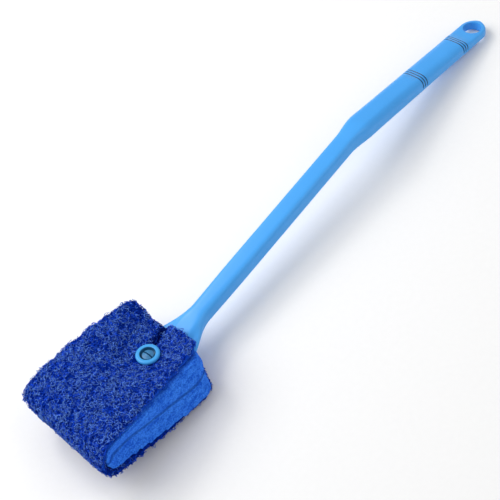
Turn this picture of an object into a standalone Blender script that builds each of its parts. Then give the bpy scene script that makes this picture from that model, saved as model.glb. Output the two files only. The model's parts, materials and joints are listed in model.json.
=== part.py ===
"""Algae scraper: a moulded handle whose flat paddle carries a folded foam and fleece pad.

Blender 4.5, metres, +Z up. Lengths below are millimetres in the design frame: its origin is
where the rivet axis crosses the paddle's mid-plane, +X runs to the handle's tip and +Z leaves
the paddle's upper face. An empty lays the whole object down on its pad's heel and its tip.
"""
import math

import bmesh
import bpy
from mathutils import Vector

MM = 0.001
OBJECT_NAME = "algae_scraper"

# Lying on a table: the tip comes down by this angle until it touches.
LIE_ANGLE = math.radians(8.0)

# Handle: plan and side view. The shaft rises from the paddle, and the grip bends back.
PADDLE_FRONT = -56.0
PADDLE_HALF_WIDTH = 19.0
PADDLE_CORNER = 11.0
PADDLE_HALF_THICK = 1.5
SHAFT_SLOPE = 0.2066
SHAFT_FOOT = 20.3
NECK_BEND = (14.0, 26.6)
GRIP_BEND_AT = 188.6
GRIP_BEND_HALF = 9.0
GRIP_SLOPE = -0.034
SHAFT_HALF_WIDTH = 6.3
SHAFT_HALF_THICK = 5.3
GRIP_HALF_WIDTH = 8.7
GRIP_HALF_THICK = 6.4
GRIP_END_HALF_THICK = 5.3
TAB_HALF_WIDTH = 8.7
TAB_HALF_THICK = 3.15
HOLE_AT = 314.6
HOLE_RADIUS = 5.6
HOLE_LIP = 0.6
SECTION_POINTS = 40

# Grip grooves: two groups of three, across the top and down both sides.
GROOVE_GROUPS = (250.5, 295.0)
GROOVE_COUNT = 3
GROOVE_PITCH = 2.1
GROOVE_WIDTH = 1.0
GROOVE_DEPTH = 0.6

# Rivet: a stud through the stack from below, and a ring cap snapped over its split tip.
RIVET_GAP = 0.3
PINCH_HALF = 9.1
FLANGE_RADIUS = 7.1
FLANGE_THICK = 1.7
RECESS_RADIUS = 4.5
RECESS_FLOOR = 8.6
THROAT_RADIUS = 2.9
THROAT_UNDER = 7.6
SLEEVE_OUTER = 4.6
SLEEVE_INNER = 3.75
SLEEVE_END = 3.2
POST_RADIUS = 3.4
SHANK_RADIUS = 2.6
BARB_RADIUS = 3.4
BARB_TIP_RADIUS = 1.7
BARB_TOP = 10.7
SLIT_WIDTH = 0.9
SLIT_BOTTOM = 5.0
PADDLE_HOLE_RADIUS = 3.8
PAD_HOLE_RADIUS = 5.1
RIVET_SEGMENTS = 40

# Pad, folded round the paddle's front edge. Side edges are y at the nose and at the heel, with
# the belly that the edge bows out by between them; the right side is -Y. There the two leaves
# slant in or out to one slit beside the paddle.
NOSE_X = -64.0
NOSE_SKEW = 0.07
HEEL_X = 20.5
HEEL_SKEW = 0.09
NOSE_LENGTH = 12.0
NOSE_SHARE = 0.2
NOSE_HALF = 11.8
HEEL_HALF = {"upper": 14.8, "lower": 15.2}
FULLNESS = 2.0
FLEECE_EDGES = {"upper": {"right": (-28.0, -22.0, -1.5), "left": (41.5, 36.0, 2.0)},
                "lower": {"right": (-31.5, -32.2, 0.5), "left": (41.5, 32.5, 1.0)}}
FOAM_EDGES = {"upper": {"right": (-28.5, -24.5, -1.0), "left": (40.5, 35.5, 1.5)},
              "lower": {"right": (-31.5, -36.5, 1.0), "left": (40.5, 32.0, 0.5)}}
SLIT_EDGE = (-22.0, -30.5)
SLIT_REACH = 26.0
SLIT_AT_FOLD = 0.3
FOAM_HEEL_INSET = 2.0
HEEL_BELLY = 5.5
HEEL_BELLY_AT = -5.0
HEEL_BELLY_HALF = 19.0
HEEL_CORNER = 6.5
SLOT_HALF = 1.85
SLOT_CLOSED = 0.35
SLOT_FRONT_GAP = 2.2
SLOT_SIDE_GAP = 1.0
SLOT_CLOSES_OVER = 3.0
SLOT_RISE_FROM = 6.0
SLOT_RISE = 0.15
FLEECE_THICK = 3.4
FLEECE_MAX_SHARE = 0.5
LAYER_GAP = 0.56
PINCH_FLAT = 9.0
PINCH_REACH = 27.0
NOTCH = (24.0, 10.0)
NOTCH_DROP = 1.4
PAD_ROWS = 46
PAD_COLUMNS = 24

COLOURS = {"handle": (0.07, 0.33, 0.82, 1.0), "pad_foam": (0.02, 0.14, 0.70, 1.0),
           "pad_fleece": (0.015, 0.05, 0.42, 1.0), "rivet_cap": (0.06, 0.33, 0.80, 1.0),
           "rivet_stud": (0.06, 0.30, 0.72, 1.0)}
ROUGHNESS = {"handle": 0.38, "pad_foam": 0.95, "pad_fleece": 0.9, "rivet_cap": 0.35,
             "rivet_stud": 0.35}


def clear_scene():
    """Empties the file of objects, so the script can be run twice."""
    for old in list(bpy.data.objects):
        bpy.data.objects.remove(old, do_unlink=True)


def new_collection(name):
    """A collection linked to the scene, made afresh."""
    old = bpy.data.collections.get(name)
    if old:
        bpy.data.collections.remove(old)
    made = bpy.data.collections.new(name)
    bpy.context.scene.collection.children.link(made)
    return made


def plastic(name):
    """The part's own Principled material."""
    material = bpy.data.materials.new(name)
    material.use_nodes = True
    shader = material.node_tree.nodes["Principled BSDF"]
    shader.inputs["Base Color"].default_value = COLOURS[name]
    shader.inputs["Roughness"].default_value = ROUGHNESS[name]
    shader.inputs["Metallic"].default_value = 0.0
    material.diffuse_color = COLOURS[name]
    return material


def ramp(value, low, high):
    """A smooth step: 0 at low and before, 1 at high and past it."""
    t = min(1.0, max(0.0, (value - low) / (high - low)))
    return t * t * (3.0 - 2.0 * t)


def mix(a, b, t):
    return a + (b - a) * t


def object_from(bm, name, collection):
    """Turns a bmesh in millimetres into a linked object in metres, facing out."""
    bmesh.ops.recalc_face_normals(bm, faces=bm.faces)
    bmesh.ops.scale(bm, vec=(MM, MM, MM), verts=bm.verts)
    mesh = bpy.data.meshes.new(name)
    bm.to_mesh(mesh)
    bm.free()
    made = bpy.data.objects.new(name, mesh)
    collection.objects.link(made)
    return made


def loft(rings, name, collection):
    """A closed body through a row of rings with equal point counts, capped at both ends."""
    bm = bmesh.new()
    rows = [[bm.verts.new(point) for point in ring] for ring in rings]
    count = len(rows[0])
    for near, far in zip(rows, rows[1:]):
        for i in range(count):
            j = (i + 1) % count
            bm.faces.new((near[i], near[j], far[j], far[i]))
    bm.faces.new(rows[0])
    bm.faces.new(rows[-1])
    return object_from(bm, name, collection)


def slab(outer, inner, name, collection):
    """A closed body between two grids of points that face each other."""
    bm = bmesh.new()
    skins = [[[bm.verts.new(point) for point in row] for row in grid] for grid in (outer, inner)]
    rows, columns = len(outer), len(outer[0])
    for skin in skins:
        for r in range(rows - 1):
            for c in range(columns - 1):
                bm.faces.new((skin[r][c], skin[r][c + 1], skin[r + 1][c + 1], skin[r + 1][c]))
    edge = [(0, c) for c in range(columns)] + [(r, columns - 1) for r in range(1, rows)]
    edge += [(rows - 1, c) for c in range(columns - 2, -1, -1)] + [(r, 0) for r in range(rows - 2, 0, -1)]
    for (r0, c0), (r1, c1) in zip(edge, edge[1:] + edge[:1]):
        bm.faces.new((skins[0][r0][c0], skins[0][r1][c1], skins[1][r1][c1], skins[1][r0][c0]))
    return object_from(bm, name, collection)


def turned(profile, name, collection, closed):
    """A body turned about the local Z axis; its outer side runs from top to bottom."""
    bm = bmesh.new()
    points = [bm.verts.new((radius, 0.0, height)) for radius, height in profile]
    pairs = list(zip(points, points[1:]))
    if closed:
        pairs.append((points[-1], points[0]))
    for a, b in pairs:
        bm.edges.new((a, b))
    bmesh.ops.scale(bm, vec=(MM, MM, MM), verts=bm.verts)
    mesh = bpy.data.meshes.new(name)
    bm.to_mesh(mesh)
    bm.free()
    made = bpy.data.objects.new(name, mesh)
    collection.objects.link(made)
    screw = made.modifiers.new("Turn", 'SCREW')
    screw.steps = RIVET_SEGMENTS
    screw.render_steps = RIVET_SEGMENTS
    screw.use_merge_vertices = True
    screw.merge_threshold = 0.00001
    return made


def cut(body, cutter, label):
    """An exact Boolean difference; the cutter stays hidden in its own collection."""
    cutter.hide_render = True
    cutter.display_type = 'WIRE'
    boolean = body.modifiers.new(label, 'BOOLEAN')
    boolean.operation = 'DIFFERENCE'
    boolean.solver = 'EXACT'
    boolean.object = cutter


def round_cutter(name, radius, low, high, cutters, at=(0.0, 0.0), lip=0.0):
    """A turned cutter about a vertical axis, opened out at both mouths by a lip."""
    reach = 4.0
    if lip:
        profile = [(0.0, high + reach), (radius + lip + reach, high + reach), (radius + lip, high),
                   (radius + 0.3 * lip, high - 0.7 * lip), (radius, high - 1.8 * lip),
                   (radius, low + 1.8 * lip), (radius + 0.3 * lip, low + 0.7 * lip),
                   (radius + lip, low), (radius + lip + reach, low - reach), (0.0, low - reach)]
    else:
        profile = [(0.0, high), (radius, high), (radius, low), (0.0, low)]
    made = turned(profile, name, cutters, closed=False)
    made.location = Vector((at[0] * MM, at[1] * MM, 0.0))
    return made


def centre_height(x):
    """Height of the handle's centre-line: flat paddle, rising shaft, then the bent-back grip."""
    start, end = NECK_BEND
    if x <= start:
        return 0.0
    if x < end:
        return SHAFT_SLOPE * (x - start) ** 2 / (2.0 * (end - start))
    before = GRIP_BEND_AT - GRIP_BEND_HALF
    bend = min(max(x - before, 0.0), 2.0 * GRIP_BEND_HALF)
    change = GRIP_SLOPE - SHAFT_SLOPE
    turned_by = change * bend ** 2 / (4.0 * GRIP_BEND_HALF)
    past = max(x - before - 2.0 * GRIP_BEND_HALF, 0.0)
    return SHAFT_SLOPE * (x - SHAFT_FOOT) + turned_by + change * past


def half_width(x):
    """Half the handle's width in plan, from the paddle's rounded corners to the round tab."""
    corner = PADDLE_FRONT + PADDLE_CORNER
    if x < corner:
        run = corner - x
        return PADDLE_HALF_WIDTH - PADDLE_CORNER + math.sqrt(max(PADDLE_CORNER ** 2 - run ** 2, 0.0))
    width = mix(PADDLE_HALF_WIDTH, 15.5, ramp(x, -4.0, 27.0))
    width = mix(width, SHAFT_HALF_WIDTH, ramp(x, 17.0, 43.0))
    width = mix(width, GRIP_HALF_WIDTH, ramp(x, 178.0, 197.0))
    width = mix(width, TAB_HALF_WIDTH, ramp(x, 230.0, 300.0))
    if x > HOLE_AT:
        width = math.sqrt(max(TAB_HALF_WIDTH ** 2 - (x - HOLE_AT) ** 2, 0.0))
    return width


def half_thick(x):
    """Half the thickness of the handle at its middle."""
    thick = mix(PADDLE_HALF_THICK, SHAFT_HALF_THICK, ramp(x, 8.0, 40.0))
    thick = mix(thick, GRIP_HALF_THICK, ramp(x, 176.0, 196.0))
    thick = mix(thick, GRIP_END_HALF_THICK, ramp(x, 205.0, 290.0))
    return mix(thick, TAB_HALF_THICK, ramp(x, 292.0, 304.0))


def web_thick(x):
    """Half the thickness of the flared web beside the neck's rib."""
    return mix(PADDLE_HALF_THICK, SHAFT_HALF_THICK, ramp(x, 22.0, 42.0))


def squareness(x):
    """Exponent of the section: high is a rounded box, 2 an ellipse."""
    power = mix(4.2, 3.4, ramp(x, 190.0, 215.0))
    power = mix(power, 2.7, ramp(x, 215.0, 290.0))
    power = mix(power, 5.0, ramp(x, 292.0, 304.0))
    power = mix(3.0, power, ramp(x, 36.0, 80.0))
    return mix(6.0, power, ramp(x, 8.0, 26.0))


def groove_depth(x):
    """How far the section is drawn in at x by a grip groove."""
    for middle in GROOVE_GROUPS:
        for i in range(GROOVE_COUNT):
            at = middle + (i - (GROOVE_COUNT - 1) / 2.0) * GROOVE_PITCH
            if abs(x - at) < 0.26 * GROOVE_WIDTH:
                return GROOVE_DEPTH
    return 0.0


def handle_section(x):
    """One closed ring of the handle, perpendicular to X."""
    wide, thick, web = half_width(x), half_thick(x), min(web_thick(x), half_thick(x))
    power, groove = squareness(x), groove_depth(x)
    rib_edge = SHAFT_HALF_WIDTH * 0.72
    ring = []
    for i in range(SECTION_POINTS):
        angle = 2.0 * math.pi * (i + 0.5) / SECTION_POINTS
        across, up = math.cos(angle), math.sin(angle)
        y = math.copysign(abs(across) ** (2.0 / power), across)
        z = math.copysign(abs(up) ** (2.0 / power), up)
        drawn_in = groove * ramp(up, -0.25, 0.1)
        y *= wide - drawn_in
        rib = 1.0 - ramp(abs(y), rib_edge, rib_edge + 4.5)
        z *= mix(web, thick, rib) - drawn_in
        ring.append((x, y, z + centre_height(x)))
    return ring


def handle_stations():
    """The X places of the loft's rings, closer together wherever the section changes."""
    places = [PADDLE_FRONT + PADDLE_CORNER * (1.0 - math.cos(math.radians(a))) for a in range(4, 91, 14)]
    places += [-30.0, -14.0, -4.0]
    places += [float(x) for x in range(0, 46, 3)]
    places += [56.0, 72.0, 90.0, 110.0, 130.0, 150.0, 166.0]
    places += [float(x) for x in range(174, 202, 3)]
    places += [208.0, 218.0, 230.0, 240.0, 262.0, 275.0, 285.0]
    for middle in GROOVE_GROUPS:
        for i in range(GROOVE_COUNT):
            at = middle + (i - (GROOVE_COUNT - 1) / 2.0) * GROOVE_PITCH
            places += [at + share * GROOVE_WIDTH for share in (-0.5, -0.25, 0.25, 0.5)]
    places += [300.0, 302.0, 304.0, 308.0, HOLE_AT]
    places += [HOLE_AT + TAB_HALF_WIDTH * math.sin(math.radians(a)) for a in (12, 25, 38, 50, 61, 71, 79, 85)]
    return sorted(places)


def build_handle(parts, cutters):
    """Tab, grip, shaft, neck and paddle: one moulding, with the hang hole and rivet hole."""
    handle = loft([handle_section(x) for x in handle_stations()], "handle", parts)
    tab = centre_height(HOLE_AT)
    hang = round_cutter("cut_hang_hole", HOLE_RADIUS, tab - TAB_HALF_THICK, tab + TAB_HALF_THICK,
                        cutters, at=(HOLE_AT, 0.0), lip=HOLE_LIP)
    cut(handle, hang, "Hang hole")
    cut(handle, round_cutter("cut_paddle_hole", PADDLE_HOLE_RADIUS, -8.0, 8.0, cutters), "Rivet hole")
    return handle


def distance_to_crease(x, y):
    """Distance in plan to the line that the pinch draws from the rivet to the back edge."""
    length_squared = NOTCH[0] ** 2 + NOTCH[1] ** 2
    t = min(1.0, max(0.0, (x * NOTCH[0] + y * NOTCH[1]) / length_squared))
    return math.hypot(x - t * NOTCH[0], y - t * NOTCH[1]), t


def nose_end(y):
    """X where the round nose meets the leaves."""
    return NOSE_X + NOSE_SKEW * y + NOSE_LENGTH


def leaf_height(x, y, leaf):
    """Height of a leaf's outer skin: full behind the nose, and pinched in at the rivet."""
    run = (x - nose_end(y)) / (HEEL_X - nose_end(y))
    full = mix(NOSE_HALF, HEEL_HALF[leaf], 1.0 - (1.0 - min(max(run, 0.0), 1.0)) ** FULLNESS)
    away, t = distance_to_crease(x, y) if leaf == "upper" else (math.hypot(x, y), 0.0)
    return mix(PINCH_HALF - NOTCH_DROP * t, full, ramp(away, PINCH_FLAT, PINCH_REACH))


def slot_half(x, y):
    """Half the height of the pad's slot, which hugs the paddle and closes beside it."""
    open_half = SLOT_HALF + SLOT_RISE * max(0.0, x - SLOT_RISE_FROM)
    edge = half_width(max(x, PADDLE_FRONT + PADDLE_CORNER)) + SLOT_SIDE_GAP
    return mix(open_half, SLOT_CLOSED, ramp(abs(y), edge, edge + SLOT_CLOSES_OVER))


def edge_y(edge, along):
    """Y of a side edge at a share of the way from nose to heel."""
    at_nose, at_heel, belly = edge
    return mix(at_nose, at_heel, along) + math.copysign(belly, at_nose) * math.sin(math.pi * along)


def heel_x(y, right, left, inset):
    """X of a leaf's back edge, bowed in the middle and with its two corners rounded in plan."""
    bow = max(0.0, 1.0 - ((y - HEEL_BELLY_AT) / HEEL_BELLY_HALF) ** 2)
    x = HEEL_X + HEEL_SKEW * y + HEEL_BELLY * bow - inset
    into_corner = max(HEEL_CORNER - min(y - right, left - y), 0.0)
    return x - HEEL_CORNER + math.sqrt(max(HEEL_CORNER ** 2 - into_corner ** 2, 0.0))


def side_edge(edges, leaf, side, run):
    """Y of a leaf's side edge; round the nose it passes smoothly to the other leaf's edge."""
    along = max(0.0, (run - NOSE_SHARE) / (1.0 - NOSE_SHARE))
    own = edge_y(edges[leaf][side], along)
    other = edges["lower" if leaf == "upper" else "upper"][side][0]
    return mix(0.5 * (own + other), own, ramp(run, 0.0, NOSE_SHARE))


def slot_y(y, leaf, run):
    """Y of the slot wall under a skin point: near the right edge it slants to the slit."""
    foam_edge = side_edge(FOAM_EDGES, leaf, "right", run)
    near = min(1.0, max(0.0, 1.0 - (y - foam_edge) / SLIT_REACH))
    share = mix(SLIT_AT_FOLD, 1.0, ramp(run, 0.0, 2.0 * NOSE_SHARE))
    return y + share * (mix(*SLIT_EDGE, run) - foam_edge) * near ** 2


def pad_skins(s, v, edges, inset):
    """Outer skin point and slot wall point at s (-1 lower heel, 0 nose, 1 upper heel), v across."""
    leaf, sign, run = ("upper", 1.0, s) if s >= 0.0 else ("lower", -1.0, -s)
    along = max(0.0, (run - NOSE_SHARE) / (1.0 - NOSE_SHARE))
    right, left = side_edge(edges, leaf, "right", run), side_edge(edges, leaf, "left", run)
    y = mix(right, left, v)
    inner_y = slot_y(y, leaf, run)
    start_x = nose_end(y)
    slot_x = PADDLE_FRONT - SLOT_FRONT_GAP + SLOT_HALF
    if run < NOSE_SHARE:
        turn = 0.5 * math.pi * run / NOSE_SHARE
        wall = slot_half(slot_x, inner_y)
        outer = (start_x - NOSE_LENGTH * math.cos(turn), y, sign * NOSE_HALF * math.sin(turn))
        inner = (slot_x - SLOT_HALF * math.cos(turn), inner_y, sign * wall * math.sin(turn))
        return Vector(outer), Vector(inner)
    back_x = heel_x(y, right, left, inset)
    x, inner_x = mix(start_x, back_x, along), mix(slot_x, back_x, along)
    wall = slot_half(inner_x, inner_y)
    return Vector((x, y, sign * leaf_height(x, y, leaf))), Vector((inner_x, inner_y, sign * wall))


def fleece_share(outer, inner):
    """Share of the way from skin to slot that the fleece takes up."""
    return min(FLEECE_THICK / (outer - inner).length, FLEECE_MAX_SHARE)


def pad_grid(edges, inset, depth):
    """A grid of points over the folded pad; depth gives the share of the way in to the slot."""
    grid = []
    for row in range(PAD_ROWS + 1):
        s = 2.0 * row / PAD_ROWS - 1.0
        line = []
        for column in range(PAD_COLUMNS + 1):
            even = column / PAD_COLUMNS
            v = mix(even, 0.5 - 0.5 * math.cos(math.pi * even), 0.6)
            outer, inner = pad_skins(s, v, edges, inset)
            line.append(outer.lerp(inner, depth(outer, inner)))
        grid.append(line)
    return grid


def skin_depth(outer, inner):
    return 0.0


def fleece_depth(outer, inner):
    return fleece_share(outer, inner)


def foam_depth(outer, inner):
    return fleece_share(outer, inner) + LAYER_GAP / (outer - inner).length


def slot_depth(outer, inner):
    return 1.0


def build_fleece(parts, cutters):
    """The scouring fleece: the outer layer, folded round the paddle's front edge."""
    fleece = slab(pad_grid(FLEECE_EDGES, 0.0, skin_depth), pad_grid(FLEECE_EDGES, 0.0, fleece_depth),
                  "pad_fleece", parts)
    cut(fleece, round_cutter("cut_fleece_hole", PAD_HOLE_RADIUS, -30.0, 30.0, cutters), "Rivet hole")
    return fleece


def build_foam(parts, cutters):
    """The foam: the inner layer between the fleece and the paddle, folded with it."""
    foam = slab(pad_grid(FOAM_EDGES, FOAM_HEEL_INSET, foam_depth),
                pad_grid(FOAM_EDGES, FOAM_HEEL_INSET, slot_depth), "pad_foam", parts)
    cut(foam, round_cutter("cut_foam_hole", PAD_HOLE_RADIUS, -30.0, 30.0, cutters), "Rivet hole")
    return foam


def build_rivet_cap(parts):
    """The ring cap: a rounded flange on the pad, a deep recess and a sleeve round the post."""
    under = PINCH_HALF + RIVET_GAP
    top = under + FLANGE_THICK
    profile = [(SLEEVE_OUTER, under), (SLEEVE_OUTER, SLEEVE_END), (SLEEVE_INNER, SLEEVE_END),
               (SLEEVE_INNER, THROAT_UNDER), (THROAT_RADIUS, THROAT_UNDER),
               (THROAT_RADIUS, RECESS_FLOOR), (RECESS_RADIUS, RECESS_FLOOR),
               (RECESS_RADIUS, top - 0.4), (RECESS_RADIUS + 0.35, top),
               (FLANGE_RADIUS - 1.1, top), (FLANGE_RADIUS - 0.35, top - 0.35),
               (FLANGE_RADIUS, top - 1.0), (FLANGE_RADIUS - 0.1, under)]
    return turned(profile, "rivet_cap", parts, closed=True)


def build_rivet_stud(parts, cutters):
    """The stud: a flange under the pad, a post through the stack, and a split, barbed tip."""
    under = PINCH_HALF + RIVET_GAP
    bottom = -under - FLANGE_THICK
    neck = THROAT_UNDER - RIVET_GAP
    profile = [(0.0, BARB_TOP), (BARB_TIP_RADIUS, BARB_TOP), (BARB_RADIUS, RECESS_FLOOR + 1.0),
               (BARB_RADIUS, RECESS_FLOOR + RIVET_GAP), (SHANK_RADIUS, RECESS_FLOOR + RIVET_GAP),
               (SHANK_RADIUS, neck), (POST_RADIUS, neck), (POST_RADIUS, -under),
               (FLANGE_RADIUS - 0.1, -under), (FLANGE_RADIUS, bottom + 1.0),
               (FLANGE_RADIUS - 0.35, bottom + 0.35), (FLANGE_RADIUS - 1.1, bottom), (0.0, bottom)]
    stud = turned(profile, "rivet_stud", parts, closed=False)
    bpy.ops.mesh.primitive_cube_add(size=1.0)
    slit = bpy.context.active_object
    slit.name = "cut_stud_slit"
    for owner in list(slit.users_collection):
        owner.objects.unlink(slit)
    cutters.objects.link(slit)
    height = BARB_TOP + 2.0 - SLIT_BOTTOM
    slit.scale = (SLIT_WIDTH * MM, 2.6 * POST_RADIUS * MM, height * MM)
    slit.location = (0.0, 0.0, (SLIT_BOTTOM + 0.5 * height) * MM)
    cut(stud, slit, "Slit")
    return stud


def lay_down(bodies, cutters, lie):
    """Parents everything to an empty that tips it back and centres the bodies on z = 0."""
    lie.rotation_euler = (0.0, LIE_ANGLE, 0.0)
    for child in bodies + cutters:
        child.parent = lie
    bpy.context.view_layer.update()
    points = [body.matrix_world @ vertex.co for body in bodies for vertex in body.data.vertices]
    low = [min(point[axis] for point in points) for axis in range(3)]
    high = [max(point[axis] for point in points) for axis in range(3)]
    lie.location = (-0.5 * (low[0] + high[0]), -0.5 * (low[1] + high[1]), -low[2])
    bpy.context.view_layer.update()


def main():
    clear_scene()
    parts = new_collection(OBJECT_NAME)
    cutters = new_collection(OBJECT_NAME + "_cutters")
    cutters.hide_render = True
    made = [build_handle(parts, cutters), build_foam(parts, cutters), build_fleece(parts, cutters),
            build_rivet_stud(parts, cutters), build_rivet_cap(parts)]
    for part in made:
        part.data.materials.append(plastic(part.name))
    lie = bpy.data.objects.new("lie_on_table", None)
    parts.objects.link(lie)
    lay_down(made, list(cutters.objects), lie)


main()
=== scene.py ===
# %% [markdown]
# # A long-handled algae scraper
# The real tool has five pieces: a moulded handle whose flat end hides inside the pad, a folded
# foam core, a folded sheet of scouring fleece round it, and a snap rivet made of a split stud and
# a ring cap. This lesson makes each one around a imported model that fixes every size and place, so
# nothing here is measured by eye: the frame says where the rivet stands and which way it points.

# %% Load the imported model
import json
import math

import bmesh
import bpy
from mathutils import Matrix, Vector, noise
from mathutils.bvhtree import BVHTree


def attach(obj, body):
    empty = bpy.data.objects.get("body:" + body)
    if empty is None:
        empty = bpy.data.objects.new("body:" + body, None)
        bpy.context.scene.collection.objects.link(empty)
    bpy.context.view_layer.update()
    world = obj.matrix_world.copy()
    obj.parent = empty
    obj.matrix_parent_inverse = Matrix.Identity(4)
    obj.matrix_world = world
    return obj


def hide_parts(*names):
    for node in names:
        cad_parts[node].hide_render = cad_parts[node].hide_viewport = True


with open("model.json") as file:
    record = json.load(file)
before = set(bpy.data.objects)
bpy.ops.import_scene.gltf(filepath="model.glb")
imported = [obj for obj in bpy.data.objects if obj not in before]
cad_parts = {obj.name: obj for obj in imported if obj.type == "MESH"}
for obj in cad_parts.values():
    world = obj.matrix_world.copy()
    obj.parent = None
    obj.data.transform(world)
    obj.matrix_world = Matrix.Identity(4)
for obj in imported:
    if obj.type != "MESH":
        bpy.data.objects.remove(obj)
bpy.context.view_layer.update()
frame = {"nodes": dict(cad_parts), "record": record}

MM = 0.001

# %% [markdown]
# ## The design frame
# The tool lies on a table, tipped by a few degrees, but its shape is much easier to write down in
# its own frame: X along the handle, Z along the rivet, and the origin where the rivet crosses the
# paddle. One could type in the tilt, but the rivet's joint already holds both the point and the
# axis, so the matrix comes from there and can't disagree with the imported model.

# %% Find the design frame from the rivet's joint
joints = {joint["name"]: joint for joint in frame["record"]["behaviour"]["joints"]}
RIVET_AT = Vector(joints["stud_turn"]["pos_m"])
RIVET_AXIS = Vector(joints["stud_turn"]["axis"]).normalized()
LIE = Matrix.Translation(RIVET_AT) @ Matrix.Rotation(math.atan2(RIVET_AXIS.x, RIVET_AXIS.z), 4, 'Y')
print("rivet at", [round(v / MM, 2) for v in RIVET_AT], "mm, tipped by",
      round(math.degrees(math.atan2(RIVET_AXIS.x, RIVET_AXIS.z)), 2), "degrees")

# %% [markdown]
# ## Small helpers for meshes
# Every finished piece has its object at the origin and its place in its mesh. So each helper
# works in millimetres in the design frame, and `settle` moves the mesh itself, never the object.


# %% Helpers that make and finish a mesh object
def ramp(value, low, high):
    """A smooth step: 0 at low and before, 1 at high and past it."""
    t = min(1.0, max(0.0, (value - low) / (high - low)))
    return t * t * (3.0 - 2.0 * t)


def mix(a, b, t):
    """The number a share t of the way from a to b."""
    return a + (b - a) * t


def linked(mesh, name):
    """A new object for a mesh, linked to the scene."""
    made = bpy.data.objects.new(name, mesh)
    bpy.context.scene.collection.objects.link(made)
    return made


def settle(bm, name):
    """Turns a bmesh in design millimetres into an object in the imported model's own place."""
    bmesh.ops.recalc_face_normals(bm, faces=bm.faces)
    mesh = bpy.data.meshes.new(name)
    bm.to_mesh(mesh)
    bm.free()
    mesh.transform(LIE @ Matrix.Scale(MM, 4))
    return linked(mesh, name)


def baked(piece):
    """Swaps a piece's mesh for what its modifiers make of it, and removes the modifiers."""
    graph = bpy.context.evaluated_depsgraph_get()
    mesh = bpy.data.meshes.new_from_object(piece.evaluated_get(graph))
    piece.modifiers.clear()
    piece.data = mesh
    return piece


def smooth(piece, degrees):
    """Smooth shading that keeps edges sharper than an angle."""
    piece.data.shade_smooth()
    piece.data.set_sharp_from_angle(angle=math.radians(degrees))


def triangles(piece):
    return sum(len(face.vertices) - 2 for face in piece.data.polygons)


# %% [markdown]
# ## Wiring nodes like sums
# Materials and node trees are graphs, and graphs typed one link at a time are hard to read. One
# small class wraps a socket, so that `1 - mask * 0.4` adds its own Math nodes, and one method
# adds any other node: its settings first, then its values or links.


# %% A socket that does arithmetic
class Wire:
    """An output socket of a node tree."""

    def __init__(self, tree, socket=None):
        self.tree = tree
        self.socket = socket

    def node(self, kind, settings=None, inputs=None, output=0):
        """Adds a node and returns the wire from one of its outputs."""
        made = self.tree.nodes.new(kind)
        for name, value in (settings or {}).items():
            setattr(made, name, value)
        for name, value in (inputs or {}).items():
            if isinstance(value, Wire):
                self.tree.links.new(value.socket, made.inputs[name])
            else:
                made.inputs[name].default_value = value
        return Wire(self.tree, made.outputs[output] if len(made.outputs) else None)

    def maths(self, operation, first, second=0.0):
        """A Math node on one or two numbers or wires."""
        return self.node("ShaderNodeMath", {"operation": operation}, {0: first, 1: second})

    def __add__(self, other):
        return self.maths('ADD', self, other)

    def __sub__(self, other):
        return self.maths('SUBTRACT', self, other)

    def __rsub__(self, other):
        return self.maths('SUBTRACT', other, self)

    def __mul__(self, other):
        return self.maths('MULTIPLY', self, other)

    __radd__ = __add__
    __rmul__ = __mul__

    def also(self, name):
        """The wire from another output of the same node."""
        return Wire(self.tree, self.socket.node.outputs[name])

    def step(self, low, high):
        """A smooth step of this value, from 0 at low to 1 at high."""
        inputs = {"Value": self, "From Min": low, "From Max": high, "To Min": 0.0, "To Max": 1.0}
        return self.node("ShaderNodeMapRange", {"interpolation_type": 'SMOOTHSTEP'}, inputs)


def blend(wire, factor, first, second):
    """Mixes two colours."""
    settings = {"data_type": 'RGBA', "blend_type": 'MIX', "clamp_factor": True}
    return wire.node("ShaderNodeMix", settings, {0: factor, 6: first, 7: second}, output=2)


def clouds(wire, place, scale, detail):
    """Soft noise whose features are about 1 / scale metres across."""
    inputs = {"Vector": place, "Scale": scale, "Detail": detail}
    return wire.node("ShaderNodeTexNoise", {"noise_dimensions": '3D'}, inputs)


def shade(colour, factor):
    """A colour made darker or lighter, as four numbers."""
    return tuple(min(1.0, part * factor) for part in colour[:3]) + (1.0,)


# %% [markdown]
# ## Moulded plastic
# The handle and the rivet come out of a polished mould: light blue, satin, with a faint orange
# peel and slow flow marks. A flat colour would look like paper. Noise on the object's own
# coordinates shifts the tint by a few per cent, a finer one drives roughness, and the finest is
# the orange peel in the bump. Two places are deeper in tone, because little light gets into them:
# the grip's grooves, which an attribute marks, and the ring's recess, near the rivet's axis.


# %% Make the moulded plastics
def principled(name):
    """A new material, its shader and the wire that the rest of its nodes hang from."""
    material = bpy.data.materials.new(name)
    material.use_nodes = True
    return material, material.node_tree.nodes["Principled BSDF"], Wire(material.node_tree)


def object_place(wire):
    """Where a point of the surface is, in the object's own coordinates."""
    return wire.node("ShaderNodeTexCoord", output="Object")


def attribute(wire, name):
    """A number stored on the mesh's points."""
    return wire.node("ShaderNodeAttribute", {"attribute_name": name}, output="Fac")


def connect(wire, shader, **sockets):
    """Links wires to a shader's sockets; names use _ for a space."""
    for name, source in sockets.items():
        wire.tree.links.new(source.socket, shader.inputs[name.replace("_", " ")])


def bump(wire, height, distance):
    """A normal that follows a height; the distance is the relief in metres."""
    return wire.node("ShaderNodeBump", None, {"Height": height, "Distance": distance}, output="Normal")


def rivet_radius(wire, place):
    """Distance from the rivet's axis, in metres."""
    from_rivet = wire.node("ShaderNodeVectorMath", {"operation": 'SUBTRACT'},
                           {0: place, 1: tuple(RIVET_AT)})
    square = wire.node("ShaderNodeVectorMath", {"operation": 'CROSS_PRODUCT'},
                       {0: from_rivet, 1: tuple(RIVET_AXIS)})
    return wire.node("ShaderNodeVectorMath", {"operation": 'LENGTH'}, {0: square}, output="Value")


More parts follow.
